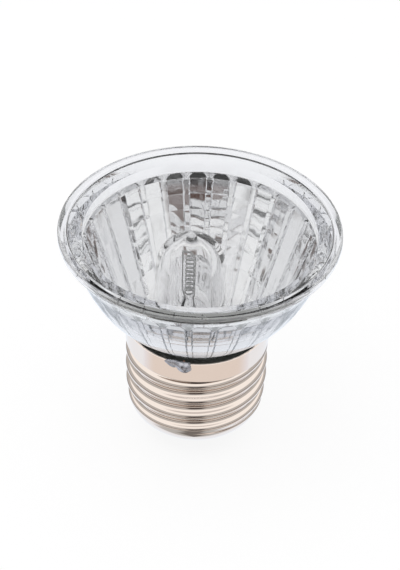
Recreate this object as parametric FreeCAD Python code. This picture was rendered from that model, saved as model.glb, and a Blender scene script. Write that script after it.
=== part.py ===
import FreeCAD, Part
import os
from math import pi, sin, cos, radians, sqrt

# Halogen reflector lamp with a fluted glass bowl, flat front glass and 27 mm screw cap.
# Origin: middle of the underside of the centre contact. +Z runs up the lamp to the front glass,
# and -Y is the side seen in the photograph. All sizes are millimetres.

V = FreeCAD.Vector
AXIS = V(0, 0, 1)
BASE = V(0, 0, 0)

# Whole lamp. The bowl's depth is what stands above the cap, and lengths in it are shares of that depth.
HEIGHT = 45.7
RIM_R = 25.35
SHELL_TOP = 24.75
SHELL_R = 13.15
BOWL_DEPTH = HEIGHT - SHELL_TOP

# Screw cap: rolled sheet with a 27 mm round thread, a turned-in foot and a plain collar above
SHELL_T = 0.3
COLLAR_H = 4.15
COLLAR_LAP = 0.25
THREAD_TOP = SHELL_TOP - COLLAR_H
THREAD_R = SHELL_R - 0.01
THREAD_FADE = 1.3
THREAD_DEPTH = 1.02
PITCH = 3.629
CREST_FRONT = THREAD_TOP - 1.6
SHELL_FOOT = 3.9
ROLL_TOP = SHELL_FOOT + 3.2
ROLL_R = SHELL_R - 3.05
TAPER = 0.6
TAPER_TOP = ROLL_TOP + 6.3
SECTORS = 30
FOOT_BANDS = 2
THREAD_BANDS = 24

# Glass insulator and centre contact
CONTACT_R = 4.9
CONTACT_T = 0.9
CONTACT_HOLE = 1.4
INSULATOR_TIP_R = CONTACT_R + 0.7
INSULATOR_TOP = SHELL_FOOT + 2.8
INSULATOR_BORE = CONTACT_HOLE + 0.3

# Neck of the bowl, inside the collar
NECK_R = SHELL_R - SHELL_T - 1.85
NECK_LOW_R = NECK_R - 0.6
NECK_BORE = NECK_LOW_R - 1.5
NECK_SHOULDER = SHELL_TOP - 0.6
NECK_RISE = 0.15
NECK_WAIST = SHELL_TOP - 4.35
NECK_END = SHELL_TOP - 6.25

# Rim, seat and front glass, with depths measured down from the rim
RIM_SIDE = 1.4
RIM_ROUND = 0.55
LIP_R = RIM_R - 1.55
LIP_ROUND = 0.3
SEAT_DEPTH = 1.65
COVER_FIT = 0.15
COVER_T = 1.2
BARE_R = RIM_R - 4.4
BARE_DEPTH = 0.186 * BOWL_DEPTH

# Outside of the bowl: one smooth bend from under the rim down to the neck, given by shares of the way
UNDER_R = RIM_R - 1.2
UNDER_DEPTH = RIM_SIDE + 0.9
BEND_HIGH = (0.711, 0.3485)
BEND_LOW = (0.745, 0.638)

# Inside of the bowl: a parabola cut into flutes, each stepped in rows
FLUTES = 30
FLUTE_TURN = 92.0
ROWS = 9
ROW_TOP_R = BARE_R - 0.7
ROW_TOP_Z = HEIGHT - 0.2644 * BOWL_DEPTH
ROW_END_R = NECK_BORE + 0.3
ROW_END_Z = SHELL_TOP - 0.49
DISH = (ROW_TOP_Z - ROW_END_Z) / (ROW_TOP_R ** 2 - ROW_END_R ** 2)
FLOOR_HALF = 3.3
MOUTH_DEEP = 4.2
MOUTH_SHALLOW = 3.8
STEP_DEEP = 0.42
STEP_SHALLOW = 0.24
ROW_LAP = 0.04

# Cements
PUTTY_TOP = SHELL_TOP - 2.15
PUTTY_FOOT = NECK_END + 1.1
CEMENT_TOP = SHELL_TOP - 0.55
CEMENT_FOOT = THREAD_TOP + 0.3

# Quartz burner, standing a little to the left as in the photograph
BURNER_X = -1.45
BURNER_TURN = -45.0
PINCH_W = 2 * (NECK_BORE + BURNER_X) - 4.1
PINCH_T = 3.2
PINCH_RIB_R = 1.9
PINCH_TOP = SHELL_TOP + 0.179 * BOWL_DEPTH
PINCH_END = PUTTY_FOOT - 0.1
BURNER_R = PINCH_W / 2 + 0.6
BURNER_WALL = 0.9
TIP_R = 0.95
TIP_RISE = 1.15
TIP_GAP = 0.8
BURNER_TOP = HEIGHT - SEAT_DEPTH - TIP_GAP - TIP_RISE
TUBE_FOOT = SHELL_TOP + 0.303 * BOWL_DEPTH

# Filament, its wires, foils and pins
COIL_R = 0.8
COIL_TURNS = 9
COIL_LENGTH = 0.495 * (BURNER_TOP - TUBE_FOOT)
COIL_PITCH = COIL_LENGTH / COIL_TURNS
COIL_WIRE = 0.12
COIL_FOOT = TUBE_FOOT + 0.105 * BOWL_DEPTH
COIL_TAIL = 0.043 * BOWL_DEPTH
LEAD_GAP = 0.2037 * PINCH_W
LEAD_R = 0.25
FOIL_W = 0.185 * PINCH_W
FOIL_T = 0.12
FOIL_TOP = PINCH_TOP - 1.1
FOIL_FOOT = PINCH_END + 2.9
PIN_R = 0.4
PIN_END = PINCH_END - 2.9
WIRE_R = 0.2
WIRE_DROP = 1.4
SLEEVE_R = CONTACT_HOLE - 0.2
SLEEVE_FOOT = CONTACT_T + 2.3
SLEEVE_TOP = INSULATOR_TOP + 0.2

# Solder on the shell, left of the middle of the front
SOLDER_ANGLE = -100.0
SOLDER_DROP = (1.45, 0.75)
SOLDER_TAIL = ((4.5, 0.1, 1.15, 0.6), (-5.5, 0.3, 1.0, 0.45), (-10.0, 0.6, 0.8, 0.25))
SOLDER_Z = SHELL_TOP - 0.9

os.makedirs("parts", exist_ok=True)


def save(name, shape):
    shape.exportStep("parts/" + name + ".step")


def polar(radius, angle, z):
    return V(radius * cos(radians(angle)), radius * sin(radians(angle)), z)


def outline(start, *steps):
    """Closed outline of (radius, z) points. A two-point step is an arc, a three-point step a smooth bend."""
    edges, here = [], V(start[0], 0, start[1])
    for step in steps + (start,):
        if isinstance(step, list):
            points = [V(r, 0, z) for r, z in step]
            if len(points) == 2:
                edges.append(Part.Arc(here, points[0], points[1]).toShape())
            else:
                curve = Part.BezierCurve()
                curve.setPoles([here] + points)
                edges.append(curve.toShape())
            here = points[-1]
        else:
            there = V(step[0], 0, step[1])
            edges.append(Part.makeLine(here, there))
            here = there
    return Part.Face(Part.Wire(edges))


def turned(start, *steps):
    """Solid of revolution about the lamp axis."""
    return outline(start, *steps).revolve(BASE, AXIS, 360)


def rod(points, radius):
    """Round wire from point to point, with round bends."""
    shape = None
    for a, b in zip(points, points[1:]):
        length = (b - a).Length
        piece = Part.makeCylinder(radius, length, a, b - a)
        if shape:
            piece = piece.fuse(Part.makeSphere(radius, a))
        shape = shape.fuse(piece) if shape else piece
    return shape


def dish_z(radius):
    return ROW_END_Z + DISH * (radius * radius - ROW_END_R * ROW_END_R)


def bowl_point(share):
    """Point of the bowl's outside, by its shares of the way out and down from neck and rim."""
    out, down = share
    return NECK_R + (UNDER_R - NECK_R) * out, HEIGHT - UNDER_DEPTH - (BOWL_DEPTH - UNDER_DEPTH) * down


# Flutes


def flute_ring(radius, z, depth, floor_half, mouth_half):
    """Corner points of one level: each flute has two mouth corners and two floor corners set deeper."""
    points = []
    for k in range(FLUTES):
        middle = FLUTE_TURN + k * 360.0 / FLUTES
        points.append(polar(radius, middle - mouth_half, z))
        points.append(polar(radius + depth, middle - floor_half, z))
        points.append(polar(radius + depth, middle + floor_half, z))
        points.append(polar(radius, middle + mouth_half, z))
    return points


def loop(points):
    return Part.makePolygon(points + [points[0]])


def row_faces(top, bottom):
    """Side faces between two rings: floors and ribs are flat, the narrow flanks are split in two."""
    faces = []
    count = len(top)
    for i in range(count):
        j = (i + 1) % count
        if i % 2:
            faces.append(Part.Face(loop([top[i], top[j], bottom[j], bottom[i]])))
        else:
            faces.append(Part.Face(loop([top[i], top[j], bottom[j]])))
            faces.append(Part.Face(loop([top[i], bottom[j], bottom[i]])))
    return faces


def fluted_core():
    """The fluted, stepped hollow of the bowl as a solid, built ring by ring from the top."""
    gable_r = BARE_R - 0.1
    top = flute_ring(gable_r, HEIGHT - BARE_DEPTH + 0.4, 0.02, 0.35, 0.8)
    faces = [Part.Face(loop(top))]
    radius = ROW_TOP_R
    bottom = flute_ring(radius, dish_z(radius), STEP_DEEP, FLOOR_HALF, MOUTH_DEEP)
    faces += row_faces(top, bottom)
    fall = (ROW_TOP_R - ROW_END_R) / (ROWS - 1)
    for row in range(1, ROWS):
        start = radius - ROW_LAP
        z = bottom[0].z
        top = flute_ring(start, z, STEP_SHALLOW, FLOOR_HALF * 0.9, MOUTH_SHALLOW)
        faces += Part.Face(loop(bottom)).cut(Part.Face(loop(top))).Faces
        radius = ROW_TOP_R - row * fall
        bottom = flute_ring(radius, dish_z(radius), STEP_DEEP, FLOOR_HALF, MOUTH_DEEP)
        faces += row_faces(top, bottom)
    faces.append(Part.Face(loop(bottom)))
    shell = Part.Shell(faces)
    shell.sewShape()
    core = Part.Solid(shell)
    if core.Volume < 0:
        core.reverse()
    return core


def reflector():
    h = HEIGHT
    body = turned((NECK_BORE, NECK_END),
                  (NECK_LOW_R, NECK_END),
                  (NECK_LOW_R, NECK_WAIST),
                  (NECK_R, NECK_SHOULDER),
                  (NECK_R, SHELL_TOP + NECK_RISE),
                  [bowl_point(BEND_LOW), bowl_point(BEND_HIGH), (UNDER_R, h - UNDER_DEPTH)],
                  (RIM_R, h - RIM_SIDE),
                  (RIM_R, h - RIM_ROUND),
                  [(RIM_R - 0.29 * RIM_ROUND, h - 0.29 * RIM_ROUND), (RIM_R - RIM_ROUND, h)],
                  (LIP_R + LIP_ROUND, h),
                  [(LIP_R + 0.29 * LIP_ROUND, h - 0.29 * LIP_ROUND), (LIP_R, h - LIP_ROUND)],
                  (LIP_R, h - SEAT_DEPTH),
                  (NECK_BORE, h - SEAT_DEPTH))
    bare = Part.makeCylinder(BARE_R, BARE_DEPTH, V(0, 0, h - BARE_DEPTH), AXIS)
    bore = Part.makeCylinder(NECK_BORE, ROW_END_Z - NECK_END + 1.1, V(0, 0, NECK_END - 1.0), AXIS)
    return body.cut(bare).cut(fluted_core()).cut(bore)


# Front glass and the cement bead around it


def cover_glass():
    top = HEIGHT - SEAT_DEPTH + COVER_T
    disc = Part.makeCylinder(LIP_R - COVER_FIT, COVER_T, V(0, 0, HEIGHT - SEAT_DEPTH), AXIS)
    rims = [e for e in disc.Edges if isinstance(e.Curve, Part.Circle) and abs(e.Vertexes[0].Z - top) < 0.01]
    return disc.makeFillet(0.2, rims)


def cover_bead():
    seat = HEIGHT - SEAT_DEPTH
    outer = LIP_R
    inner = LIP_R - COVER_FIT
    high = seat + COVER_T - 0.25
    return turned((inner, seat), (outer, seat), (outer, high), (inner, high - 0.1))


# Screw shell


def thread_fall(offset):
    """Fall below the crest of a round thread, for a height offset from the crest."""
    arc = (PITCH * PITCH / 4 + THREAD_DEPTH ** 2) / (4 * THREAD_DEPTH)
    u = abs((offset + PITCH / 2) % PITCH - PITCH / 2)
    if u <= PITCH / 4:
        return arc - sqrt(arc * arc - u * u)
    w = PITCH / 2 - u
    return THREAD_DEPTH - arc + sqrt(arc * arc - w * w)


def ease(x):
    x = min(1.0, max(0.0, x))
    return x * x * (3 - 2 * x)


def foot_point(t):
    """Point of the rolled foot: level at its edge (t = 0), then a smooth bend up into the wall (t = 1)."""
    wide, tall = THREAD_R - TAPER - ROLL_R, ROLL_TOP - SHELL_FOOT
    out = 3 * t * (1 - t) * ((1 - t) * 0.29 + t * 0.84) + t ** 3
    up = 3 * t * t * (1 - t) * 0.53 + t ** 3
    return ROLL_R + wide * out, SHELL_FOOT + tall * up


def shell_point(s, angle):
    """Point of the outside of the shell: s runs 0..1 over the rolled foot, then in mm up the wall."""
    if s <= 1.0:
        return foot_point(s)
    z = ROLL_TOP + (s - 1.0)
    crest = CREST_FRONT + PITCH * (angle + 90.0) / 360.0
    fade = ease((THREAD_TOP - z) / THREAD_FADE) * ease((z - ROLL_TOP) / THREAD_FADE)
    taper = TAPER * (max(0.0, TAPER_TOP - z) / (TAPER_TOP - ROLL_TOP)) ** 2
    return THREAD_R - taper - thread_fall(z - crest) * fade, z


def shell_spot(s, angle, inset):
    """Point of the shell wall, set in by inset square to the wall."""
    r, z = shell_point(s, angle)
    if inset:
        top = 1.0 + THREAD_TOP - ROLL_TOP
        if s < 0.001:
            across, along = 0.0, 1.0
        else:
            ra, za = shell_point(s - 0.02, angle)
            rb, zb = shell_point(min(top, s + 0.02), angle)
            length = sqrt((rb - ra) ** 2 + (zb - za) ** 2)
            across, along = (zb - za) / length, (rb - ra) / length
        r, z = r - inset * across, z + inset * along
        if s > top - 0.001:
            z = THREAD_TOP
    return polar(r, angle, z)


def shell_line(angle, inset):
    """Upright line of the shell wall at one angle, in short bends: the rolled foot, then the thread."""
    low = THREAD_TOP - ROLL_TOP
    levels = [i / FOOT_BANDS for i in range(FOOT_BANDS)]
    levels += [1.0 + low * i / THREAD_BANDS for i in range(THREAD_BANDS + 1)]
    bends = []
    for s, t in zip(levels, levels[1:]):
        start, end = shell_spot(s, angle, inset), shell_spot(t, angle, inset)
        nudge = (t - s) / 30.0
        after = (shell_spot(s + nudge, angle, inset) - start) * 10.0
        before = (end - shell_spot(t - nudge, angle, inset)) * 10.0
        curve = Part.BezierCurve()
        curve.setPoles([start, start + after, end - before, end])
        bends.append(curve.toShape())
    return bends


def screw_shell():
    """Rolled sheet: narrow strips between upright lines for the thread, and a plain collar above."""
    turns = [k * 360.0 / SECTORS for k in range(SECTORS)]
    outer, inner = [[shell_line(turn, inset) for turn in turns] for inset in (0.0, SHELL_T)]
    faces = []
    for k in range(SECTORS):
        j = (k + 1) % SECTORS
        for side in (outer, inner):
            faces += [Part.makeRuledSurface(a, b) for a, b in zip(side[k], side[j])]
        for end in (0, -1):
            corners = [line[end].Vertexes[end].Point for line in (outer[k], outer[j], inner[j], inner[k])]
            faces.append(Part.Face(loop(corners)))
    shell = Part.Compound(faces)
    shell.sewShape(0.0001)
    thread = Part.Solid(shell.Shells[0])
    if thread.Volume < 0:
        thread.reverse()
    low, bore = THREAD_TOP - COLLAR_LAP, SHELL_R - SHELL_T
    collar = turned((bore, low), (SHELL_R, low), (SHELL_R, SHELL_TOP), (bore, SHELL_TOP))
    return thread.fuse(collar)


# Insulator, contact and solder


def cap_insulator():
    """Black glass: a cone below the shell, and a collar that rests on the shell's turned-in foot."""
    hole = ROLL_R * cos(pi / SECTORS) - 0.01
    lip = SHELL_FOOT + SHELL_T
    collar = hole + 0.53
    return turned((INSULATOR_BORE, CONTACT_T),
                  (INSULATOR_TIP_R, CONTACT_T),
                  [(INSULATOR_TIP_R + 0.35, CONTACT_T + 0.1), (INSULATOR_TIP_R + 0.6, CONTACT_T + 0.5)],
                  (hole, SHELL_FOOT),
                  (hole, lip),
                  (collar, lip + 0.32),
                  (collar + 0.8, lip + 1.6),
                  (collar + 0.8, INSULATOR_TOP - 0.5),
                  (collar + 0.1, INSULATOR_TOP),
                  (INSULATOR_BORE, INSULATOR_TOP - 1.5))


def centre_contact():
    return turned((CONTACT_HOLE, 0.25),
                  (CONTACT_HOLE + 0.6, 0.0),
                  (CONTACT_R - 0.5, 0.0),
                  [(CONTACT_R - 0.15, 0.15), (CONTACT_R, 0.5)],
                  (CONTACT_R, CONTACT_T),
                  (CONTACT_HOLE, CONTACT_T))


def centre_solder():
    return turned((0.0, 0.05),
                  [(CONTACT_HOLE * 0.7, 0.1), (CONTACT_HOLE, 0.25)],
                  (CONTACT_HOLE, CONTACT_T),
                  (CONTACT_HOLE - 0.1, CONTACT_T + 0.5),
                  (0.0, CONTACT_T + 0.7))


def drop(angle, z, spread, rise):
    """Ball sunk into the shell so that a cap of the given spread and rise stands out of it."""
    ball_r = (spread * spread + rise * rise) / (2 * rise)
    return Part.makeSphere(ball_r, polar(SHELL_R + rise - ball_r, angle, z))


def side_solder(wire):
    """Solder run over the top edge of the shell, with a short tail to the left."""
    blob = drop(SOLDER_ANGLE, SOLDER_Z, *SOLDER_DROP)
    for turn, lift, spread, rise in SOLDER_TAIL:
        blob = blob.fuse(drop(SOLDER_ANGLE + turn, SOLDER_Z + lift, spread, rise))
    blob = blob.common(Part.makeCylinder(RIM_R, SHELL_TOP + 0.3, BASE, AXIS))
    blob = blob.cut(Part.makeCylinder(SHELL_R, SHELL_TOP, BASE, AXIS))
    return blob.cut(Part.makeCylinder(SHELL_R - 0.7, HEIGHT, BASE, AXIS)).cut(wire)


# Burner


def placed(shape):
    """Turns a piece made about its own axis into the burner's place."""
    shape = shape.copy()
    shape.rotate(BASE, AXIS, BURNER_TURN)
    shape.translate(V(BURNER_X, 0, 0))
    return shape


def squeezed(half_tube, half_slab, z_tube, z_slab, z_foot, z_head, flat):
    """Upright wedge that clips the round tube: full size above, pressed to half_slab below."""
    side = [V(half_tube, 0, z_head), V(half_tube, 0, z_tube)]
    fall = z_tube - z_slab
    bend = Part.BezierCurve()
    bend.setPoles([side[1], V(half_tube, 0, z_tube - 0.45 * fall), V(half_slab, 0, z_tube - 0.55 * fall),
                   V(half_slab, 0, z_slab)])
    mirror = Part.BezierCurve()
    mirror.setPoles([V(-p.x, 0, p.z) for p in reversed(bend.getPoles())])
    foot = V(half_slab, 0, z_foot)
    edges = [Part.makeLine(side[0], side[1]), bend.toShape(), Part.makeLine(V(half_slab, 0, z_slab), foot),
             Part.makeLine(foot, V(-half_slab, 0, z_foot)), Part.makeLine(V(-half_slab, 0, z_foot),
             V(-half_slab, 0, z_slab)), mirror.toShape(),
             Part.makeLine(V(-half_tube, 0, z_tube), V(-half_tube, 0, z_head)),
             Part.makeLine(V(-half_tube, 0, z_head), side[0])]
    block = Part.Face(Part.Wire(edges)).extrude(V(0, 4 * half_tube, 0))
    block.translate(V(0, -2 * half_tube, 0))
    if flat:
        block.rotate(BASE, AXIS, 90)
    return block


def bulb(radius, z_top, z_foot):
    """Round tube with a domed end."""
    rise = radius * 0.8
    return turned((0.0, z_foot), (radius, z_foot), (radius, z_top - rise),
                  [(radius, z_top - rise * 0.35), (radius * 0.62, z_top), (0.0, z_top)])


def burner_solid():
    """Outside of the burner: domed tube, pressed foot with a thick rib along each edge, sealed-off tip."""
    tall, foot = BURNER_TOP + 1.0, PINCH_END - 1.0
    body = bulb(BURNER_R, BURNER_TOP, PINCH_END)
    for half, flat in ((PINCH_T / 2, True), (PINCH_W / 2, False)):
        body = body.common(squeezed(BURNER_R + 0.2, half, TUBE_FOOT, PINCH_TOP, foot, tall, flat))
    for side in (-1, 1):
        x = side * (PINCH_W / 2 - PINCH_RIB_R + 0.2)
        rib = Part.makeCylinder(PINCH_RIB_R, PINCH_TOP + 0.8 - PINCH_END, V(x, 0, PINCH_END), AXIS)
        body = body.fuse(rib)
    tip = turned((0.0, BURNER_TOP - 0.6), (TIP_R + 0.75, BURNER_TOP - 0.6), (TIP_R + 0.7, BURNER_TOP - 0.1),
                 [(TIP_R + 0.2, BURNER_TOP + 0.15), (TIP_R, BURNER_TOP + 0.5)],
                 [(TIP_R, BURNER_TOP + 0.8 * TIP_RISE), (TIP_R * 0.6, BURNER_TOP + TIP_RISE),
                  (0.0, BURNER_TOP + TIP_RISE)])
    return body.fuse(tip)


def burner_hollow():
    inner_r = BURNER_R - BURNER_WALL
    foot = PINCH_TOP + 0.35 * (TUBE_FOOT - PINCH_TOP)
    room = bulb(inner_r, BURNER_TOP - BURNER_WALL, foot)
    return room.common(squeezed(inner_r + 0.2, 0.5, TUBE_FOOT + 0.3, foot, foot - 1, BURNER_TOP + 1, True))


def coil_end(side):
    return V(side * LEAD_GAP / 2, 0, COIL_FOOT - COIL_TAIL)


def filament(supports):
    """Upright coil with one tail down each side to the support wires."""
    helix = Part.makeHelix(COIL_PITCH, COIL_LENGTH, COIL_R)
    ring = Part.Wire(Part.makeCircle(COIL_WIRE, V(COIL_R, 0, 0), V(0, 1, 0)))
    coil = Part.Wire(helix.Edges).makePipeShell([ring], True, True)
    coil.translate(V(0, 0, COIL_FOOT))
    high = COIL_FOOT + COIL_LENGTH
    out = COIL_R + 1.2
    low = rod([V(COIL_R, 0, COIL_FOOT), coil_end(1)], COIL_WIRE)
    back = rod([V(COIL_R, 0, high), V(0, 0, high + 0.5), V(-out, 0, high - 0.2), V(-out, 0, COIL_FOOT),
                coil_end(-1)], COIL_WIRE)
    shape = placed(coil.fuse(low).fuse(back))
    for support in supports:
        shape = shape.cut(support)
    return shape


def foil(side):
    corner = V(side * LEAD_GAP - FOIL_W / 2, -FOIL_T / 2, FOIL_FOOT)
    return placed(Part.makeBox(FOIL_W, FOIL_T, FOIL_TOP - FOIL_FOOT, corner, AXIS))


def lead(side):
    """Support wire from the foil up to the tail of the filament."""
    top = coil_end(side)
    knee = (PINCH_TOP + TUBE_FOOT) / 2
    points = [V(side * LEAD_GAP, 0, FOIL_TOP), V(side * LEAD_GAP, 0, knee), top]
    return placed(rod(points, LEAD_R))


def pin(side):
    return placed(Part.makeCylinder(PIN_R, FOIL_FOOT - PIN_END, V(side * LEAD_GAP, 0, PIN_END), AXIS))


def burner_glass(buried):
    """Quartz envelope, with its wires and foils pressed into the foot."""
    glass = placed(burner_solid().cut(burner_hollow()))
    for piece in buried:
        glass = glass.cut(piece)
    return glass


# Cements and cap wires


def burner_putty():
    plug = Part.makeCylinder(NECK_BORE, PUTTY_TOP - PUTTY_FOOT, V(0, 0, PUTTY_FOOT), AXIS)
    return plug.cut(placed(burner_solid()))


def cap_cement(wire):
    inner = SHELL_R - SHELL_T
    share = (CEMENT_FOOT - NECK_WAIST) / (NECK_SHOULDER - NECK_WAIST)
    foot_r = NECK_LOW_R + (NECK_R - NECK_LOW_R) * share
    ring = turned((foot_r, CEMENT_FOOT), (inner, CEMENT_FOOT), (inner, CEMENT_TOP),
                  (NECK_R, CEMENT_TOP), (NECK_R, NECK_SHOULDER))
    return ring.cut(wire)


def pin_foot(side):
    spot = V(side * LEAD_GAP, 0, PIN_END)
    spot = FreeCAD.Rotation(AXIS, BURNER_TURN).multVec(spot)
    return spot + V(BURNER_X, 0, 0)


def shell_wire():
    """From the near pin out under the neck, up between neck and shell, to the shell's top edge."""
    foot = pin_foot(1)
    a = SOLDER_ANGLE
    root_r = SHELL_R - THREAD_DEPTH - SHELL_T
    gap_r = (NECK_LOW_R + root_r) / 2
    points = [foot, foot + V(0, 0, -WIRE_DROP), polar(NECK_LOW_R - 3.0, a + 8, NECK_END - 2.9),
              polar(NECK_LOW_R, a, NECK_END - 1.1), polar(gap_r, a, NECK_END + 0.3),
              polar(gap_r, a, NECK_WAIST - 0.2), polar(SHELL_R - 0.65, a, NECK_WAIST + 1.6),
              polar(SHELL_R - 0.57, a, SHELL_TOP + 0.15)]
    return rod(points, WIRE_R)


def contact_wire():
    """From the far pin down the middle of the cap into the centre solder."""
    foot = pin_foot(-1)
    middle = SLEEVE_TOP + 0.2 * (PIN_END - SLEEVE_TOP)
    points = [foot, foot + V(0, 0, -WIRE_DROP), V(0, 0, middle), V(0, 0, CONTACT_T + 0.7)]
    return rod(points, WIRE_R)


def wire_sleeve():
    """Glass-fibre sleeve over the middle of the contact wire."""
    height = SLEEVE_TOP - SLEEVE_FOOT
    outer = Part.makeCylinder(SLEEVE_R, height, V(0, 0, SLEEVE_FOOT), AXIS)
    return outer.cut(Part.makeCylinder(WIRE_R, height, V(0, 0, SLEEVE_FOOT), AXIS))


near_wire = shell_wire()
leads = [lead(-1), lead(1)]
foils = [foil(-1), foil(1)]
pins = [pin(-1), pin(1)]
glass = burner_glass(leads + foils + pins)

save("reflector", reflector())
save("cover_glass", cover_glass())
save("cover_bead", cover_bead())
save("burner_glass", glass)
save("filament", filament(leads))
save("burner_putty", burner_putty())
save("cap_cement", cap_cement(near_wire))
save("screw_shell", screw_shell())
save("cap_insulator", cap_insulator())
save("centre_contact", centre_contact())
save("centre_solder", centre_solder())
save("side_solder", side_solder(near_wire))
save("shell_wire", near_wire)
save("contact_wire", contact_wire())
save("wire_sleeve", wire_sleeve())
for name, pair in (("burner_lead", leads), ("burner_foil", foils), ("burner_pin", pins)):
    for tag, shape in zip(("far", "near"), pair):
        save(name + "_" + tag, shape)
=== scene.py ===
import math

import bpy
import numpy as np
from mathutils import Matrix


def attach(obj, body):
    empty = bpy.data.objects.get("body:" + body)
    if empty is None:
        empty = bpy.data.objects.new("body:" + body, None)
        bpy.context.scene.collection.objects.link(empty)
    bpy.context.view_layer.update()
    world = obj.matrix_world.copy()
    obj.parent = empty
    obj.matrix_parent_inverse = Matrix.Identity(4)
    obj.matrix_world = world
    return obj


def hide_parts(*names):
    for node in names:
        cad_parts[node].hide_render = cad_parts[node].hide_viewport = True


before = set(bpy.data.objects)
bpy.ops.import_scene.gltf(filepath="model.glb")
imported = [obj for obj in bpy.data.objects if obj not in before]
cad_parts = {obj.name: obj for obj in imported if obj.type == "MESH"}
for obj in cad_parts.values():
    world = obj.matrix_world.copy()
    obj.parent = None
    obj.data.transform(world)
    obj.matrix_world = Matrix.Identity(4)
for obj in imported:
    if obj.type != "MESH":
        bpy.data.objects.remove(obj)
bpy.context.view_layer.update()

# Reflector bowl. Clear pressed glass, one piece from the rim to the neck that sits in the cap. Its inside is
# moulded into 30 stepped flutes and coated with bright aluminium, which ends a little below the front glass.
MM = 0.001
HEIGHT, SHELL_TOP = 45.7, 24.75
RIM_R, RIM_SIDE, LIP_R, SEAT_Z = 25.35, 1.4, 23.8, HEIGHT - 1.65
NECK_R, NECK_LOW_R, NECK_BORE, NECK_WAIST, NECK_END = 11.0, 10.4, 8.9, 20.4, 18.5
# the curved outside ends at the side's radius and height, and its poles are shares of its width and depth
SIDE_R, SIDE_Z, POLE_LOW, POLE_HIGH = 24.15, HEIGHT - 2.3, (0.745, 0.638), (0.711, 0.3485)
# the wall under the seat is bare glass, and the coat starts just inside its foot
BARE_R, BARE_FOOT = 20.95, HEIGHT - 3.9
COAT_R, COAT_TOP = BARE_R - 0.3, HEIGHT - 3.95
# flutes: their number, the first one's angle, and half the width of floor and mouth in degrees
FLUTES, FLUTE_TURN, FLOOR_HALF, MOUTH_HALF, FLUTE_DEPTH = 30, 92.0, 4.1, 4.9, 0.42
# rows of steps down the flutes: each starts shallower (mm) and narrower (degrees) than it ends
ROWS, STEP_DEPTH, STEP_WIDTH, STEP_LAP = 9, 0.04, 0.35, 0.01
ROW_TOP_R, ROW_END_R, ROW_TOP_Z, ROW_END_Z = 20.25, 9.2, 40.161, 24.26


def bend(start, *poles, steps=24):
    """Smooth bend through a start and an end point: the Bezier sum of the poles with binomial weights."""
    points = np.array((start,) + poles, float)
    n = len(points) - 1
    t = np.linspace(0, 1, steps)[:, None]
    powers = np.arange(n + 1)
    weights = np.array([math.comb(n, k) for k in powers]) * t**powers * (1 - t) ** (n - powers)
    return weights @ points


def rounded(corners, radii, steps=4):
    """Open outline with its inner corners eased: each corner P becomes the bend A(1-t)^2 + 2Pt(1-t) + Bt^2,
    where A and B lie one radius before and after it."""
    p = np.array(corners, float)
    size = np.broadcast_to(np.array(radii, float), len(p) - 2)[:, None]
    before, at, after = p[:-2], p[1:-1], p[2:]
    a = at + (before - at) / np.linalg.norm(before - at, axis=1, keepdims=True) * size
    b = at + (after - at) / np.linalg.norm(after - at, axis=1, keepdims=True) * size
    t = np.linspace(0, 1, steps)[None, :, None]
    bends = a[:, None] * (1 - t) ** 2 + 2 * at[:, None] * t * (1 - t) + b[:, None] * t**2
    return np.vstack([p[:1], bends.reshape(-1, 2), p[-1:]])


def turned(profile, angles):
    """Points of a turned form: each (r, z) of the profile at each angle, as (r cos a, r sin a, z)."""
    r, z = profile[:, :1], profile[:, 1:]
    return np.stack([r * np.cos(angles), r * np.sin(angles), z + 0 * angles], -1)


def around(count):
    """Angles of so many even columns round the axis."""
    return np.arange(count) * 2 * np.pi / count


def skin(points, looped=False, start=False, end=False, inside=False):
    """Faces over a grid (rows, columns, 3) whose columns run right round. looped joins the last row to the
    first, start and end close that end with a fan, and the signed volume says which way to turn the faces."""
    rows, cols = points.shape[:2]
    index = np.arange(rows * cols).reshape(rows, cols)
    low, high = (index, np.roll(index, -1, 0)) if looped else (index[:-1], index[1:])
    quads = np.stack([low, np.roll(low, -1, 1), np.roll(high, -1, 1), high], -1).reshape(-1, 4)
    verts, tris = points.reshape(-1, 3), np.zeros((0, 3), int)
    for wanted, row, step in ((start, 0, 1), (end, -1, -1)):
        if wanted:
            verts = np.vstack([verts, points[row].mean(0)])
            ring = index[row][::step]
            fan = np.stack([np.full(cols, len(verts) - 1), np.roll(ring, -1), ring], -1)
            tris = np.vstack([tris, fan])
    corners = verts[np.vstack([quads[:, :3], quads[:, [0, 2, 3]], tris])]
    volume = (corners[:, 0] * np.cross(corners[:, 1], corners[:, 2])).sum()
    if (volume < 0) != inside:
        quads, tris = quads[:, ::-1], tris[:, ::-1]
    return verts, quads, tris


def piece(name, skins, paints, stands_for, paint_of=None, crease=35.0):
    """One object of closed skins in millimetres, smooth except where faces meet sharper than the crease angle."""
    verts, faces, base = [], [], 0
    for points, quads, tris in skins:
        verts.append(points * MM)
        faces += (quads + base).tolist() + (tris + base).tolist()
        base += len(points)
    mesh = bpy.data.meshes.new(name)
    mesh.from_pydata(np.vstack(verts), [], faces)
    mesh.polygons.foreach_set("use_smooth", np.ones(len(faces), bool))
    if paint_of is not None:
        mesh.polygons.foreach_set("material_index", paint_of.astype(np.int32))
    mesh.set_sharp_from_angle(angle=math.radians(crease))
    mesh.update()
    made = bpy.data.objects.new(name, mesh)
    bpy.context.scene.collection.objects.link(made)
    for paint in paints:
        mesh.materials.append(paint)
    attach(made, "root")
    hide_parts(*stands_for)


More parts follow.
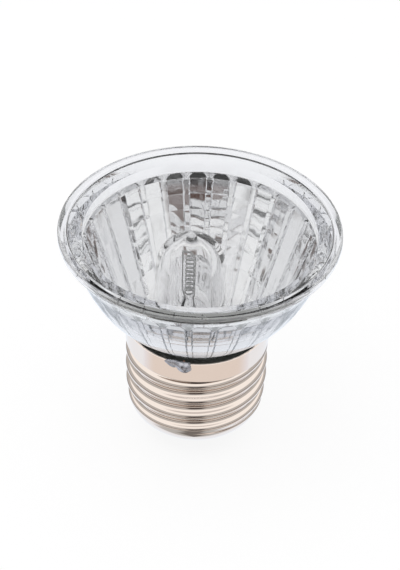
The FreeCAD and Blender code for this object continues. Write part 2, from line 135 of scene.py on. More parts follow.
class Shade:
    """A socket in a material. Arithmetic on it adds Math nodes, and node() adds a node of any other type."""

    def __init__(self, tree, socket=None):
        self.tree, self.socket = tree, socket

    def node(self, kind, settings=None, sockets=None, out=0):
        """A new node: first its settings (ramp stops too), then the value or link of each named socket."""
        made = self.tree.nodes.new("ShaderNode" + kind)
        for key, value in (settings or {}).items():
            if key == "stops":
                ramp = made.color_ramp
                for place, colour in value[len(ramp.elements):]:
                    ramp.elements.new(place)
                for element, (place, colour) in zip(ramp.elements, value):
                    element.position, element.color = place, (*colour, 1.0)
            else:
                setattr(made, key, value)
        for key, value in (sockets or {}).items():
            if isinstance(value, Shade):
                self.tree.links.new(value.socket, made.inputs[key])
            else:
                made.inputs[key].default_value = value
        return Shade(self.tree, made.outputs[out] if len(made.outputs) else None)

    def math(self, operation, *others):
        return self.node("Math", {"operation": operation}, dict(enumerate((self,) + others)))

    def __add__(self, other):
        return self.math("ADD", other)

    def __sub__(self, other):
        return self.math("SUBTRACT", other)

    def __mul__(self, other):
        return self.math("MULTIPLY", other)

    def __pow__(self, other):
        return self.math("POWER", other)

    __radd__, __rmul__ = __add__, __mul__

    def __rsub__(self, other):
        return self.node("Math", {"operation": "SUBTRACT"}, {0: other, 1: self})

    def step(self, low, high):
        """0 below low, 1 above high, eased between."""
        ease = {"interpolation_type": "SMOOTHSTEP"}
        return self.node("MapRange", ease, {"Value": self, "From Min": low, "From Max": high})

    def fade(self, low, high):
        """1 below low, 0 above high, eased between."""
        return 1 - self.step(low, high)

    def blend(self, first, second):
        """Colour between two colours, by this value."""
        return self.node("Mix", {"data_type": "RGBA"}, {0: self, 6: first, 7: second}, out=2)


def rgb(r, g, b):
    """An opaque colour."""
    return (r, g, b, 1.0)


def finish(name):
    """A new material's empty tree, to build its finish in."""
    made = bpy.data.materials.new(name)
    made.use_nodes = True
    made.node_tree.nodes.clear()
    return made, Shade(made.node_tree)


def shader(tree, sockets):
    """The finish's one shader, linked to its output."""
    tree.node("OutputMaterial", None, {"Surface": tree.node("BsdfPrincipled", None, sockets)})


def speckle(tree, scale, detail=3.0, stretch=(1.0, 1.0, 1.0)):
    """Fine uneven value about 0.5 over the piece, from its own coordinates."""
    place = tree.node("TexCoord", out="Object")
    scaled = tree.node("VectorMath", {"operation": "MULTIPLY"}, {0: place, 1: stretch})
    return tree.node("TexNoise", None, {"Vector": scaled, "Scale": scale, "Detail": detail})


def bumped(tree, height, depth):
    """Normal of a surface that rises by a depth in metres times the height."""
    return tree.node("Bump", None, {"Height": height, "Strength": 1.0, "Distance": depth})


def clear_glass(name, colour, ior=1.5, haze=0.0, ripple=0.0):
    """Clear glass. Pressed glass also has a faintly uneven haze on its polish and a ripple."""
    made, tree = finish(name)
    sockets = {"Base Color": rgb(*colour), "Transmission Weight": 1.0, "IOR": ior, "Roughness": 0.0}
    if haze:
        sockets["Roughness"] = speckle(tree, 90.0) * haze
    if ripple:
        sockets["Normal"] = bumped(tree, speckle(tree, 350.0, 1.0), ripple)
    shader(tree, sockets)
    return made


bowl_glass = clear_glass("bowl_glass", (0.97, 0.98, 0.985), haze=0.02, ripple=0.00001)

silver, tree = finish("bowl_silver")
cloud = speckle(tree, 120.0)
shader(tree, {
    "Base Color": cloud.blend(rgb(0.84, 0.845, 0.86), rgb(0.90, 0.90, 0.905)),
    "Metallic": 1.0,
    "Roughness": cloud * 0.03 + 0.02,
    "Normal": bumped(tree, speckle(tree, 300.0, 1.0), 0.00001),
})

# columns of one flute: share of the mouth's half, share of the floor's half, shift in degrees, share of the depth
FLUTE_FORM = np.array([(1.0, 0.0, 0.12, 0.0), (1.0, 0.0, -0.15, 0.16), (0.0, 1.0, 0.30, 0.90),
                       (0.0, 1.0, 0.1, 1.0), (0.0, 1.0, -0.3, 0.985), (0.0, 0.45, 0.0, 0.92)])


def flute_rows(radius, z, depth, floor, mouth):
    """Rings of the fluted face. Each flute is a rib line, then a rounded flank down to the floor and up again:
    a column's angle is mouth*m + floor*f + shift, and its radius grows by the depth times its share. The shift
    fades where the flute is narrow."""
    radius, z, depth, floor, mouth = (np.array(v, float)[:, None] for v in (radius, z, depth, floor, mouth))
    m, f, shift, share = FLUTE_FORM.T
    half = m * mouth + f * floor + shift * np.minimum(1.0, mouth / 3.0)
    deep = share * depth
    zero = np.zeros_like(radius)
    angle = np.hstack([zero - 180.0 / FLUTES, -half, half[:, ::-1]])
    sunk = np.hstack([zero, deep, deep[:, ::-1]])
    turn = FLUTE_TURN + np.arange(FLUTES) * 360.0 / FLUTES
    angle = np.radians(turn[None, :, None] + angle[:, None, :]).reshape(len(radius), -1)
    sunk = np.tile(sunk, (1, FLUTES))
    return np.stack([(radius + sunk) * np.cos(angle), (radius + sunk) * np.sin(angle), z + 0 * angle], -1)


def dish_z(radius):
    """Height of the flutes' ribs: a parabola from the end row up to the top row."""
    return ROW_END_Z + (ROW_TOP_Z - ROW_END_Z) * (radius**2 - ROW_END_R**2) / (ROW_TOP_R**2 - ROW_END_R**2)


# the bowl's turned parts have their columns at the angles of the flutes' columns
ring_angles = np.unwrap(np.arctan2(*flute_rows([20.0], [0.0], [0.0], [FLOOR_HALF], [MOUTH_HALF])[0, :, 1::-1].T))
side_start = np.array([NECK_R, SIDE_Z])
low, high = (side_start + [SIDE_R - NECK_R, SHELL_TOP - SIDE_Z] * np.array(pole) for pole in (POLE_LOW, POLE_HIGH))
neck = rounded([(NECK_BORE, ROW_END_Z - 0.1), (NECK_BORE, NECK_END), (NECK_LOW_R, NECK_END),
                (NECK_LOW_R, NECK_WAIST), (NECK_R, SHELL_TOP - 0.6), (NECK_R, SHELL_TOP + 0.1)],
               [0.2, 0.2, 0.8, 0.2])
side = bend((NECK_R, SHELL_TOP + 0.15), low, high, (SIDE_R, SIDE_Z), steps=40)
rim = rounded([side[-2], (SIDE_R, SIDE_Z), (RIM_R, HEIGHT - RIM_SIDE), (RIM_R, HEIGHT), (LIP_R, HEIGHT),
               (LIP_R, SEAT_Z), (BARE_R, SEAT_Z), (BARE_R, BARE_FOOT), (COAT_R, COAT_TOP)],
              [0.25, 0.3, 0.55, 0.3, 0.12, 0.1, 0.05], steps=6)[1:]
lathe = turned(np.vstack([neck, side[:-1], rim]), ring_angles)

# each flute starts under a round gable, an arch sqrt(1 - (1 - g)^2) wide at a share g of the way down
gable = np.linspace(0.02, 1, 12)
arch = np.sqrt(1 - (1 - gable) ** 2)
gable_rows = flute_rows(COAT_R + (ROW_TOP_R - COAT_R) * gable, COAT_TOP + (ROW_TOP_Z - COAT_TOP) * gable,
                        FLUTE_DEPTH * gable**0.8, FLOOR_HALF * arch, MOUTH_HALF * arch)
fall = (ROW_TOP_R - ROW_END_R) / (ROWS - 1)
start_r = ROW_TOP_R - fall * np.arange(ROWS - 1)[:, None]
share = np.linspace(0, 1, 4)
cell_r = (start_r - STEP_LAP - (fall - STEP_LAP) * share).ravel()
cell_z = (dish_z(start_r) + (dish_z(start_r - fall) - dish_z(start_r)) * share).ravel()
cell_form = (np.tile(full - step * (1 - share), ROWS - 1) for full, step in
             ((FLUTE_DEPTH, STEP_DEPTH), (FLOOR_HALF, STEP_WIDTH), (MOUTH_HALF, STEP_WIDTH)))
cell_rows = flute_rows(cell_r, cell_z, *cell_form)
bowl_points = np.vstack([lathe, gable_rows, cell_rows])
# the coat covers the last rings of the lathe work and all the flutes, not the edge that closes them to the neck
row_paint = (np.arange(len(bowl_points)) >= len(lathe) - 2).astype(int)
row_paint[-1] = 0
piece("reflector_bowl", [skin(bowl_points, looped=True)], [bowl_glass, silver],
      ["reflector"], np.repeat(row_paint, bowl_points.shape[1]), crease=28.0)

# Front glass. A flat disc of clear float glass with a ground edge. It lies on the bowl's seat inside the rim, and
# the bead round it holds it there.
COVER_R, COVER_T = 23.65, 1.2
float_glass = clear_glass("front_glass", (0.985, 0.99, 0.99), ior=1.45)
disc = rounded([(0.3, SEAT_Z + 0.02), (COVER_R, SEAT_Z + 0.02), (COVER_R, SEAT_Z + COVER_T),
                (0.3, SEAT_Z + COVER_T)], [0.08, 0.2], steps=5)
piece("front_glass", [skin(turned(disc, around(192)), start=True, end=True)], [float_glass],
      ["cover_glass"])

# Cement bead. A thin line of clear grey cement, run wet into the gap between the front glass and the rim. It
# shows as a fine ring round the glass.
bead_paint, tree = finish("bead_cement")
shader(tree, {
    "Base Color": speckle(tree, 600.0).blend(rgb(0.74, 0.75, 0.74), rgb(0.86, 0.86, 0.85)),
    "Roughness": 0.35,
    "Transmission Weight": 0.6,
    "IOR": 1.45,
})
bead = rounded([(COVER_R + 0.02, SEAT_Z + 0.5), (COVER_R + 0.01, SEAT_Z + 0.04), (LIP_R - 0.01, SEAT_Z + 0.04),
                (LIP_R - 0.01, SEAT_Z + 0.98), (COVER_R + 0.02, SEAT_Z + 0.86), (COVER_R + 0.02, SEAT_Z + 0.5)],
               [0.03, 0.03, 0.03, 0.03])[:-1]
piece("cement_bead", [skin(turned(bead, around(192)), looped=True)], [bead_paint], ["cover_bead"])

# Burner. A thick domed tube of clear quartz, pressed flat at its foot with a rib along each edge, and with the
# little tip on top where it was sealed off. It stands turned in the bowl and a little to the left.
BURNER_X, BURNER_TURN, BURNER_R, BURNER_WALL = -1.45, -45.0, 6.0, 2.3
BURNER_TOP, TUBE_FOOT, PINCH_TOP, PINCH_END = 42.1, 31.1, 28.5, 19.5
PINCH_HALF_W, PINCH_HALF_T, WAIST_T = 5.4, 1.85, 1.05
HOLLOW_FOOT, HOLLOW_HALF_T, TIP_R, TIP_TOP = 29.4, 0.5, 0.95, BURNER_TOP + 1.15
quartz = clear_glass("quartz", (0.94, 0.94, 0.945), ior=1.46)


def ease(x):
    """Smooth rise from 0 to 1 over x from 0 to 1: x^2 (3 - 2x)."""
    x = np.clip(x, 0.0, 1.0)
    return x * x * (3 - 2 * x)


def burner_skin(profile, radius, half_w, half_t, waist_t, foot, columns=72):
    """Tube of the profile's (r, z) squeezed towards its foot: below the tube the section eases from a circle to
    a bar, x = w cos a and y = t sin a, whose thickness t is the waist's in the middle and the rib's at the edges.
    The bar's ends are squared a little, with x drawn most of the way to w |cos a|^0.8."""
    r, z = profile[:, :1], profile[:, 1:]
    angle = around(columns)[None, :]
    pressed = 1 - ease((z - foot) / (TUBE_FOOT - foot))
    wide = r * (1 + pressed * (half_w / radius - 1))
    rib = ease(np.cos(angle) ** 2 * 1.4)
    thick = r * (1 + pressed * ((waist_t + (half_t - waist_t) * rib) / radius - 1))
    x, y = wide * np.cos(angle), thick * np.sin(angle)
    bar = np.sign(np.cos(angle)) * np.abs(np.cos(angle)) ** 0.8
    x = x + pressed * (wide * bar - x) * 0.7
    turn = math.radians(BURNER_TURN)
    return np.stack([BURNER_X + x * math.cos(turn) - y * math.sin(turn), x * math.sin(turn) + y * math.cos(turn),
                     z + 0 * angle], -1)


def dome(radius, top, steps=14):
    """Outline of a domed end, from the side up to the axis: a bend with its poles at shares of the radius and of
    the rise."""
    rise = radius * 0.8
    return bend((radius, top - rise), (radius, top - rise * 0.35), (radius * 0.62, top), (radius * 0.12, top),
                steps=steps)


tube_z = np.concatenate([np.linspace(PINCH_END, PINCH_TOP - 1, 8),
                         np.linspace(PINCH_TOP - 0.6, TUBE_FOOT + 0.5, 16)])
tube = np.stack([np.full(len(tube_z), BURNER_R), tube_z], 1)
shoulder = dome(BURNER_R, BURNER_TOP)
shoulder = shoulder[shoulder[:, 0] > TIP_R * 2 + 0.2]
root = bend((TIP_R * 2, BURNER_TOP - 0.12), (1.15, BURNER_TOP + 0.05), (TIP_R, BURNER_TOP + 0.3),
            (TIP_R, BURNER_TOP + 0.55), steps=6)
tip = bend((TIP_R, BURNER_TOP + 0.6), (TIP_R, TIP_TOP - 0.15), (0.6, TIP_TOP), (0.1, TIP_TOP), steps=8)
outside = np.vstack([tube, shoulder, root, tip])
inner_r, inner_top = BURNER_R - BURNER_WALL, BURNER_TOP - BURNER_WALL
hollow_z = np.concatenate([np.linspace(HOLLOW_FOOT, TUBE_FOOT + 0.5, 10),
                           np.linspace(TUBE_FOOT + 1.4, inner_top - 4.3, 4)])
hollow = np.vstack([np.stack([np.full(len(hollow_z), inner_r), hollow_z], 1), dome(inner_r, inner_top)])
piece("burner_quartz",
      [skin(burner_skin(outside, BURNER_R, PINCH_HALF_W, PINCH_HALF_T, WAIST_T, PINCH_TOP), start=True, end=True),
       skin(burner_skin(hollow, inner_r, inner_r * 0.93, HOLLOW_HALF_T, HOLLOW_HALF_T, HOLLOW_FOOT), start=True,
            end=True, inside=True)],
      [quartz], ["burner_glass"], crease=50.0)

# Burner's metal. A bright drawn tungsten coil on two support wires, thin foils pressed into the foot, and two
# pins below them. All are the solids of the source, given their metal: name, colour, roughness, share of metal.
METALS = (("filament", (0.83, 0.83, 0.83), 0.6, 0.3), ("burner_lead", (0.50, 0.50, 0.51), 0.3, 1.0),
          ("burner_foil", (0.20, 0.21, 0.21), 0.4, 1.0), ("burner_pin", (0.34, 0.34, 0.35), 0.35, 1.0))


def repaint(node_name, paint):
    """Gives a solid of the source its finish."""
    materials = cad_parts[node_name].data.materials
    materials.clear()
    materials.append(paint)


for part_name, colour, rough, metal in METALS:
    paint, tree = finish(part_name + "_metal")
    drawn = speckle(tree, 900.0, stretch=(1.0, 1.0, 0.1))
    shader(tree, {
        "Base Color": drawn.blend(rgb(*(c * 0.8 for c in colour)), rgb(*(c * 1.2 for c in colour))),
        "Metallic": metal,
        "Roughness": drawn * 0.2 + rough,
    })
    for node_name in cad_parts:
        if node_name.startswith(part_name):
            repaint(node_name, paint)

# Cements. Grey putty holds the burner's foot in the neck, and a ring of the same holds the neck in the cap. Both
# are pressed in wet and fired hard.
for node_name, dark, pale in (("burner_putty", (0.10, 0.105, 0.10), (0.20, 0.205, 0.195)),
                              ("cap_cement", (0.07, 0.075, 0.07), (0.13, 0.135, 0.125))):
    paint, tree = finish(node_name + "_paint")
    grain = speckle(tree, 500.0, 5.0)
    shader(tree, {
        "Base Color": grain.blend(rgb(*dark), rgb(*pale)),
        "Roughness": grain * 0.2 + 0.6,
        "Normal": bumped(tree, grain, 0.0003),
    })
    repaint(node_name, paint)

# Screw shell. Thin brass sheet rolled to a round thread, bright nickel plated, its foot turned in and its top
# left as a plain collar round the neck.
SHELL_R, SHELL_T, SHELL_FOOT, ROLL_R, ROLL_TOP, TAPER, TAPER_TOP = 13.15, 0.3, 3.9, 10.1, 7.1, 0.6, 13.4
# the thread's crest passes the front at this height, and it fades out over a length at its top and at its foot
PITCH, THREAD_DEPTH, CREST_FRONT, THREAD_TOP, FADE_TOP, FADE_FOOT = 3.629, 1.02, 19.0, 20.6, 0.4, 1.3
COLLAR_EASE = 0.08

plating, tree = finish("cap_plating")
wear = speckle(tree, 160.0, 4.0)
scuff = speckle(tree, 60.0, 5.0, stretch=(1.0, 1.0, 6.0))
shader(tree, {
    "Base Color": wear.blend(rgb(0.90, 0.785, 0.705), rgb(0.94, 0.835, 0.755)),
    "Metallic": 1.0,
    "Roughness": scuff * 0.05 + 0.03,
    "Normal": bumped(tree, wear, 0.00002),
})


def thread_fall(offset):
    """Fall below the crest of a round thread: equal arcs at crest and root that meet at the quarter pitch."""
    arc = (PITCH**2 / 4 + THREAD_DEPTH**2) / (4 * THREAD_DEPTH)
    u = np.abs((offset + PITCH / 2) % PITCH - PITCH / 2)
    w = PITCH / 2 - u
    crest = arc - np.sqrt(arc**2 - np.minimum(u, PITCH / 4) ** 2)
    root = THREAD_DEPTH - arc + np.sqrt(arc**2 - np.minimum(w, PITCH / 4) ** 2)
    return np.where(u <= PITCH / 4, crest, root)


def wall(z, angles):
    """Radius of the threaded wall at each height and angle: the crest climbs one pitch a turn and fades out at
    both ends, and the wall draws in towards the foot by the square of the depth below the taper's top."""
    crest = CREST_FRONT + PITCH * (np.degrees(angles)[None, :] + 90.0) / 360.0
    fade = ease((THREAD_TOP - z) / FADE_TOP) * ease((z - ROLL_TOP) / FADE_FOOT)
    taper = TAPER * (np.clip(TAPER_TOP - z, 0, None) / (TAPER_TOP - ROLL_TOP)) ** 2
    return SHELL_R - taper - thread_fall(z - crest) * fade


shell_angles = around(180)
foot_wide, foot_tall = SHELL_R - TAPER - ROLL_R, ROLL_TOP - SHELL_FOOT
foot = bend((ROLL_R, SHELL_FOOT), (ROLL_R + 0.29 * foot_wide, SHELL_FOOT),
            (ROLL_R + 0.84 * foot_wide, SHELL_FOOT + 0.53 * foot_tall), (SHELL_R - TAPER, ROLL_TOP), steps=14)
foot_slope = np.gradient(foot, axis=0)
foot_normal = foot_slope[:, ::-1] * [-1, 1] / np.linalg.norm(foot_slope, axis=1, keepdims=True)
foot_inside = foot + foot_normal * SHELL_T
wall_z = np.linspace(ROLL_TOP + 0.1, THREAD_TOP + 0.1, 190)[:, None] + 0 * shell_angles
collar_z = np.array([21.5, 23.5, SHELL_TOP - COLLAR_EASE, SHELL_TOP])[:, None] + 0 * shell_angles
collar_r = np.array([0.0, 0.0, 0.0, -COLLAR_EASE])[:, None] + SHELL_R + 0 * shell_angles
outer_r = np.vstack([foot[:, :1] + 0 * shell_angles, wall(wall_z, shell_angles), collar_r])
outer_z = np.vstack([foot[:, 1:] + 0 * shell_angles, wall_z, collar_z])
back_z = wall_z[::-5]
inner_r = np.vstack([collar_r[:1] - SHELL_T, collar_r[:1] - SHELL_T, wall(back_z, shell_angles) - SHELL_T,
                     foot_inside[-2::-2, :1] + 0 * shell_angles])
inner_z = np.vstack([collar_z[-1:], collar_z[:1], back_z, foot_inside[-2::-2, 1:] + 0 * shell_angles])
r, z = np.vstack([outer_r, inner_r]), np.vstack([outer_z, inner_z])
shell_points = np.stack([r * np.cos(shell_angles), r * np.sin(shell_angles), z], -1)
piece("screw_shell_plated", [skin(shell_points, looped=True)], [plating], ["screw_shell"])

# Cap foot. Black glass fills the shell's foot and carries the brass centre contact. A drop of solder closes the
# hole in the contact, where the far wire comes through.
CONTACT_R, CONTACT_BORE, CONTACT_T, DROP_R = 4.9, 1.4, 0.89, 1.38
HOLE_R = ROLL_R * math.cos(math.pi / 30) - 0.01
black_glass, tree = finish("black_glass")
pits = speckle(tree, 700.0, 2.0)
shader(tree, {
    "Base Color": pits.blend(rgb(0.012, 0.012, 0.015), rgb(0.03, 0.03, 0.035)),
    "Roughness": pits * 0.2 + 0.08,
    "Normal": bumped(tree, pits, 0.00004),
})
insulator = rounded([(1.7, 5.1), (1.7, 0.9), (5.6, 0.9), (6.2, 1.4), (HOLE_R, SHELL_FOOT), (HOLE_R, 4.2),
                     (HOLE_R + 0.5, 4.54), (HOLE_R + 1.3, 5.8), (HOLE_R + 1.3, 6.2), (HOLE_R + 0.6, 6.7),
                     (1.7, 5.2)], [0.1, 0.15, 0.3, 0.1, 0.02, 0.05, 0.15, 0.15, 0.2])
piece("cap_black_glass", [skin(turned(insulator, around(128)), looped=True)], [black_glass],
      ["cap_insulator"])

brass, tree = finish("contact_brass")
rub = speckle(tree, 300.0, 4.0)
shader(tree, {
    "Base Color": rub.blend(rgb(0.62, 0.50, 0.30), rgb(0.78, 0.68, 0.46)),
    "Metallic": 1.0,
    "Roughness": rub * 0.25 + 0.2,
    "Normal": bumped(tree, rub, 0.00003),
})
contact = rounded([(CONTACT_BORE, 0.5), (CONTACT_BORE, 0.25), (2.0, 0.0), (4.4, 0.0), (CONTACT_R, 0.4),
                   (CONTACT_R, CONTACT_T), (CONTACT_BORE, CONTACT_T), (CONTACT_BORE, 0.52)],
                  [0.08, 0.15, 0.2, 0.15, 0.05, 0.05])
piece("contact_disc", [skin(turned(contact, around(96)), looped=True)], [brass], ["centre_contact"])

tin, tree = finish("solder_tin")
lump = speckle(tree, 900.0, 3.0)
shader(tree, {
    "Base Color": lump.blend(rgb(0.42, 0.42, 0.47), rgb(0.72, 0.72, 0.76)),
    "Metallic": 1.0,
    "Roughness": lump * 0.25 + 0.12,
    "Normal": bumped(tree, lump, 0.0001),
})
# the drop's outline swells as 1 + a sin(3t + 1) + b cos(5t), and its faces rise with the radius cubed and squared
turn = around(40)
rho = np.linspace(0.1, 1.0, 9)[:, None]
swell = 1 + 0.06 * np.sin(3 * turn + 1.0) * rho + 0.03 * np.cos(5 * turn)
drop_r = DROP_R * rho * swell / swell.max()
drop_low = 0.05 + 0.2 * rho**3 + 0 * turn
drop_high = 1.6 - 0.5 * rho[::-1] ** 2 + 0 * turn
grid = np.concatenate([np.stack([drop_r * np.cos(turn), drop_r * np.sin(turn), drop_low], -1),
                       np.stack([drop_r[::-1] * np.cos(turn), drop_r[::-1] * np.sin(turn), drop_high], -1)])
piece("contact_solder", [skin(grid, start=True, end=True)], [tin], ["centre_solder"])

# Side solder. A lumpy drop of tin run over the shell's top edge where the near wire comes up, with a short
# smear of it to the left.
SOLDER_ANGLE, SOLDER_Z = -100.0, SHELL_TOP - 0.9
REACH_LEFT, REACH_RIGHT, REACH_UP, TOP_EDGE = 3.9, 1.75, 1.45, 1.15
LUMPS = ((0.15, 0.0, 1.35, 0.42), (0.75, 0.35, 0.75, 0.20), (-0.75, 0.45, 0.9, 0.24), (-2.2, 0.7, 1.3, 0.16),
         (-3.3, 0.85, 0.9, 0.08), (0.3, -0.75, 0.7, 0.13), (1.2, -0.3, 0.5, 0.12))


def solder_height(across, up):
    """Height of the tin over the shell at a place across and up: a sum of round lumps, each h(1 - d^2)^1.3."""
    total = 0 * across
    for x, y, spread, rise in LUMPS:
        d = ((across - x) ** 2 + (up - y) ** 2) / spread**2
        total = total + rise * np.clip(1 - d, 0, 1) ** 1.3
    return total


round_angle = around(72)[None, :]
reach = np.linspace(0.06, 1.0, 16)[:, None]
to_left, left_share = np.cos(round_angle) < 0, np.abs(np.cos(round_angle))
across = -0.1 + reach * np.where(to_left, REACH_LEFT, REACH_RIGHT) * np.cos(round_angle)
up = 0.1 + reach * REACH_UP * np.sin(round_angle) * np.where(to_left, 1 - 0.55 * left_share, 1.0)
up = np.minimum(up + np.where(to_left, 0.5 * left_share**2 * reach, 0), TOP_EDGE)
top_r = SHELL_R - 0.03 + solder_height(across, up) * (1 - reach**6) + 0.03 * (1 - reach**2)
base_r = np.full_like(top_r, SHELL_R - 0.28)
turn = np.radians(SOLDER_ANGLE) + across / SHELL_R
outer = np.stack([top_r * np.cos(turn), top_r * np.sin(turn), SOLDER_Z + up], -1)
inner = np.stack([base_r * np.cos(turn), base_r * np.sin(turn), SOLDER_Z + up], -1)[::-1]
piece("shell_solder", [skin(np.concatenate([outer, inner]), start=True, end=True)], [tin],
      ["side_solder"], crease=60.0)

# Cap wires. Drawn copper from the burner's pins to the shell and to the contact, hidden in the cap. The one to the
# contact wears a sleeve woven of glass fibre. All three are the solids of the source, given their finish.
copper, tree = finish("copper_wire")
drawn = speckle(tree, 800.0, stretch=(1.0, 1.0, 0.1))
shader(tree, {
    "Base Color": drawn.blend(rgb(0.55, 0.28, 0.17), rgb(0.75, 0.44, 0.30)),
    "Metallic": 1.0,
    "Roughness": drawn * 0.2 + 0.25,
})
fibre, tree = finish("glass_fibre")
weave = {"Vector": tree.node("TexCoord", out="Object"), "Scale": 900.0, "Distortion": 1.5}
braid = tree.node("TexWave", {"bands_direction": "DIAGONAL"}, weave)
shader(tree, {
    "Base Color": braid.blend(rgb(0.70, 0.69, 0.64), rgb(0.90, 0.89, 0.85)),
    "Roughness": 0.85,
    "Normal": bumped(tree, braid, 0.0001),
})
for node_name, paint in (("shell_wire", copper), ("contact_wire", copper), ("wire_sleeve", fibre)):
    repaint(node_name, paint)

# Studio floor. A plain pale sheet that keeps the lamp's shadow. Seen through glass it also has a painted
# shadow, grey just in front of the lamp, where the rim's glass looks down on it. Mirrored rays pass through it,
# because metal mirrors the surround in its place.
FLOOR_HALF, FROM_CAMERA, FROM_GLASS = 3.0, 0.88, 0.8


def split(vector, count=3):
    """The values of a vector, x first."""
    return [vector.node("SeparateXYZ", None, {0: vector}, out=k) for k in range(count)]


floor_mesh = bpy.data.meshes.new("floor")
floor_mesh.from_pydata([(x * FLOOR_HALF, y * FLOOR_HALF, 0) for x, y in ((-1, -1), (1, -1), (1, 1), (-1, 1))],
                       [], [(0, 1, 2, 3)])
floor = bpy.data.objects.new("floor", floor_mesh)
bpy.context.scene.collection.objects.link(floor)
floor_paint, tree = finish("floor_paint")
camera_ray = tree.node("LightPath", out="Is Camera Ray")
glass_ray = tree.node("LightPath", out="Is Transmission Ray")
grain = speckle(tree, 40.0)
diffuse = tree.node("BsdfDiffuse", None, {"Color": grain.blend(rgb(0.80, 0.80, 0.81), rgb(0.82, 0.82, 0.83))})
across, along = split(tree.node("TexCoord", out="Object"), 2)
away = (across * across + along * along) ** 0.5
# painted shadow: a grey ring on the floor just in front of the lamp, which only glass sees
painted_shadow = away.step(0.021, 0.026) * (1 - away.step(0.060, 0.140) * 0.6) * along.fade(-0.03, 0.01)
glow_with_painted_shadow = tree.node("Emission", None, {"Color": painted_shadow.blend(rgb(0.97, 0.97, 1.0), rgb(0.19, 0.195, 0.185))})
white = tree.node("Emission", None, {"Color": rgb(1, 1, 1), "Strength": 1.02})
seen = tree.node("MixShader", None, {0: camera_ray, 1: glow_with_painted_shadow, 2: white})
share = (camera_ray * FROM_CAMERA + glass_ray * FROM_GLASS).math("MINIMUM", FROM_CAMERA)
lit = tree.node("MixShader", None, {0: share, 1: diffuse, 2: seen})
mirrored = tree.node("LightPath", out="Is Glossy Ray") * (1 - glass_ray)
open_air = tree.node("BsdfTransparent")
tree.node("OutputMaterial", None, {"Surface": tree.node("MixShader", None, {0: mirrored, 1: lit, 2: open_air})})
floor_mesh.materials.append(floor_paint)

# Studio surround. Pale walls with a dark patch low behind the camera and dark posts along them, for the bowl and
# the glass. The cap's metal mirrors bands of its own, and the camera itself sees plain white. A height here is the
# z of a direction, and a bearing is in radians from the middle of the front.
WALLS, POST, DEEP = rgb(1.0, 0.995, 0.995), rgb(0.02, 0.015, 0.015), rgb(0.03, 0.02, 0.02)
PATCH_LOW, PATCH_HIGH = rgb(0.008, 0.005, 0.005), rgb(0.085, 0.030, 0.014)
# strips of the patch that reach higher: bearing, height
STRIPS = ((-0.35, 0.74), (0.07, 0.66), (0.47, 0.74))
# posts: bearing, half width
POSTS = ((-0.77, 0.07), (0.90, 0.04), (-1.54, 0.05), (-2.46, 0.05), (1.34, 0.05), (2.2, 0.05))
SHADED_FLOOR, CARD, EDGE, GREY, SKY = (0.50, 0.52, 0.53), (0.79, 0.74, 0.71), (0.16, 0.14, 0.13), (0.50,) * 3, (1.0,) * 3
# bands that metal mirrors, from 0 straight down to 1 straight up. The lowest is painted shade: the floor
# under the lamp, grey as in its shadow
BANDS = ((0.0, SHADED_FLOOR), (0.11, SHADED_FLOOR), (0.15, CARD), (0.20, CARD), (0.23, EDGE), (0.30, EDGE), (0.33, GREY),
         (0.63, GREY), (0.67, SKY), (0.90, SKY), (0.93, (0.62, 0.60, 0.60)))

world = bpy.data.worlds.new("studio")
bpy.context.scene.world = world
world.use_nodes = True
world.node_tree.nodes.clear()
tree = Shade(world.node_tree)
x, y, z = split(tree.node("TexCoord", out="Generated"))
middle = x.math("ABSOLUTE")
aside, bearing = middle.math("ARCTAN2", y * -1.0), x.math("ARCTAN2", y * -1.0)
bounces = tree.node("LightPath", out="Glossy Depth")

patch = bearing.step(-0.47, -0.40) * bearing.fade(0.56, 0.64) * z.fade(0.50, 0.56)
for place, top in STRIPS:
    strip = (bearing - place).math("ABSOLUTE").fade(0.05, 0.09) * z.fade(top, top + 0.05)
    patch = patch.math("MAXIMUM", strip * bounces.fade(1.4, 1.6))
room = patch.blend(WALLS, z.step(0.24, 0.32).blend(PATCH_LOW, PATCH_HIGH))
for place, half in POSTS:
    post = (bearing - place).math("ABSOLUTE").fade(half * 0.6, half) * z.fade(0.42, 0.50)
    room = post.blend(room, POST)
# light that the flutes have thrown on three times or more comes out dark, where it left towards the lamp's back
again = bounces.step(2.4, 2.6) * middle.fade(0.20, 0.45) * y.step(-0.35, 0.0) * z.fade(0.80, 0.90)
room = again.blend(room, DEEP)

bands = tree.node("ValToRGB", {"stops": BANDS}, {"Fac": z * 0.5 + 0.5})
for area, colour in (
        # low at the sides: a cooler light
        (aside.step(1.2, 1.7) * z.fade(-0.56, -0.50), (0.84, 0.88, 0.98)),
        # in front: a dark middle for the grooves, and a fainter smudge under it
        (aside.fade(0.12, 0.34) * z.fade(-0.05, 0.05) * z.step(-0.62, -0.56) * 0.85, (0.02, 0.012, 0.01)),
        (aside.fade(0.25, 0.75) * z.fade(-0.76, -0.70) * 0.75, (0.08, 0.06, 0.05)),
        # behind the lamp: white low down, a dark edge higher up, and a pale patch between them
        (y.step(0.0, 0.1) * z.fade(-0.6, -0.5), (0.88, 0.95, 1.04)),
        (y.step(0.5, 0.6) * z.step(0.45, 0.5) * z.fade(0.75, 0.8), (0.15, 0.15, 0.16)),
        (y.step(0.15, 0.45) * middle.fade(0.35, 0.60) * z.fade(-0.24, -0.18) * z.step(-0.56, -0.50),
         (0.66, 0.64, 0.62))):
    bands = area.blend(bands, rgb(*colour))
mirrored = tree.node("LightPath", out="Is Glossy Ray") * (1 - tree.node("LightPath", out="Is Transmission Ray"))
surround = tree.node("Background", None, {"Color": mirrored.blend(room, bands), "Strength": 1.0})
white = tree.node("Background", None, {"Color": rgb(1, 1, 1), "Strength": 1.0})
seen = tree.node("LightPath", out="Is Camera Ray")
tree.node("OutputWorld", None, {"Surface": tree.node("MixShader", None, {0: seen, 1: surround, 2: white})})

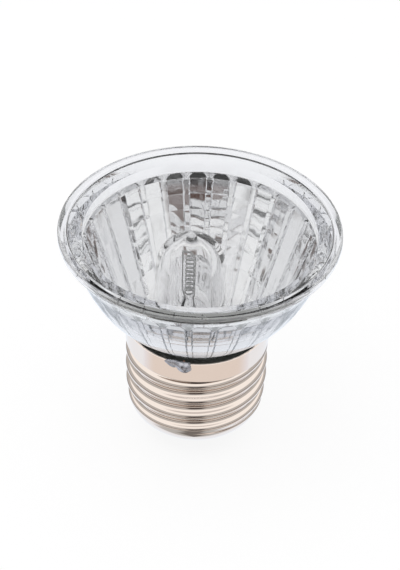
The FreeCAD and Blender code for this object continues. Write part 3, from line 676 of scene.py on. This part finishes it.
# Studio light. One soft round light overhead, tilted towards the lamp. Metal and glass show the surround in its
# place, so that no bright disc is seen in them.
LIGHT_ACROSS, LIGHT_POWER, LIGHT_AT, LIGHT_TILT = 0.5, 1.0, (-0.15, -0.1, 0.6), (-9, -14)
light_data = bpy.data.lights.new("soft_lamp", "AREA")
light_data.shape, light_data.size, light_data.energy = "DISK", LIGHT_ACROSS, LIGHT_POWER
light = bpy.data.objects.new("soft_lamp", light_data)
light.location = LIGHT_AT
light.rotation_euler = (*map(math.radians, LIGHT_TILT), 0)
light.visible_glossy, light.visible_transmission = False, False
bpy.context.scene.collection.objects.link(light)

# Camera. A long lens, looking down at the lamp from the front and rolled a little. Lengths of the frame are in
# pixels of the photograph: its size, the focal length, and where the camera's axis crosses it.
FRAME_WIDE, FRAME_TALL, FOCAL_PX, AXIS_X = 400, 570, 2100.0, 198.584
DISTANCE, RISE, TARGET_Z, ROLL, SENSOR = 380.718, 38.954, HEIGHT - 13.188, 1.757, 36.0
# limits for light that glass and bright metal pass on many times before it reaches the camera
BOUNCES, GLOSSY_BOUNCES, GLASS_BOUNCES = 32, 16, 24
rise, roll = math.radians(RISE), math.radians(ROLL)
forward = np.array([0, math.cos(rise), -math.sin(rise)])
upward = np.array([0, math.sin(rise), math.cos(rise)])
right = np.array([1.0, 0, 0])
matrix = np.eye(4)
matrix[:3, :3] = np.stack([right * math.cos(roll) + upward * math.sin(roll),
                           upward * math.cos(roll) - right * math.sin(roll), -forward], 1)
matrix[:3, 3] = (np.array([0, 0, TARGET_Z]) - DISTANCE * forward) * MM
camera_data = bpy.data.cameras.new("camera")
camera_data.sensor_width = SENSOR
camera_data.lens = FOCAL_PX / FRAME_TALL * SENSOR
camera_data.shift_x = (FRAME_WIDE / 2 - AXIS_X) / FRAME_TALL
camera = bpy.data.objects.new("camera", camera_data)
camera.matrix_world = Matrix(matrix.tolist())
bpy.context.scene.collection.objects.link(camera)
bpy.context.scene.camera = camera
bpy.context.scene.view_settings.view_transform = "Standard"
tracing = bpy.context.scene.cycles
tracing.max_bounces, tracing.glossy_bounces, tracing.transmission_bounces = BOUNCES, GLOSSY_BOUNCES, GLASS_BOUNCES
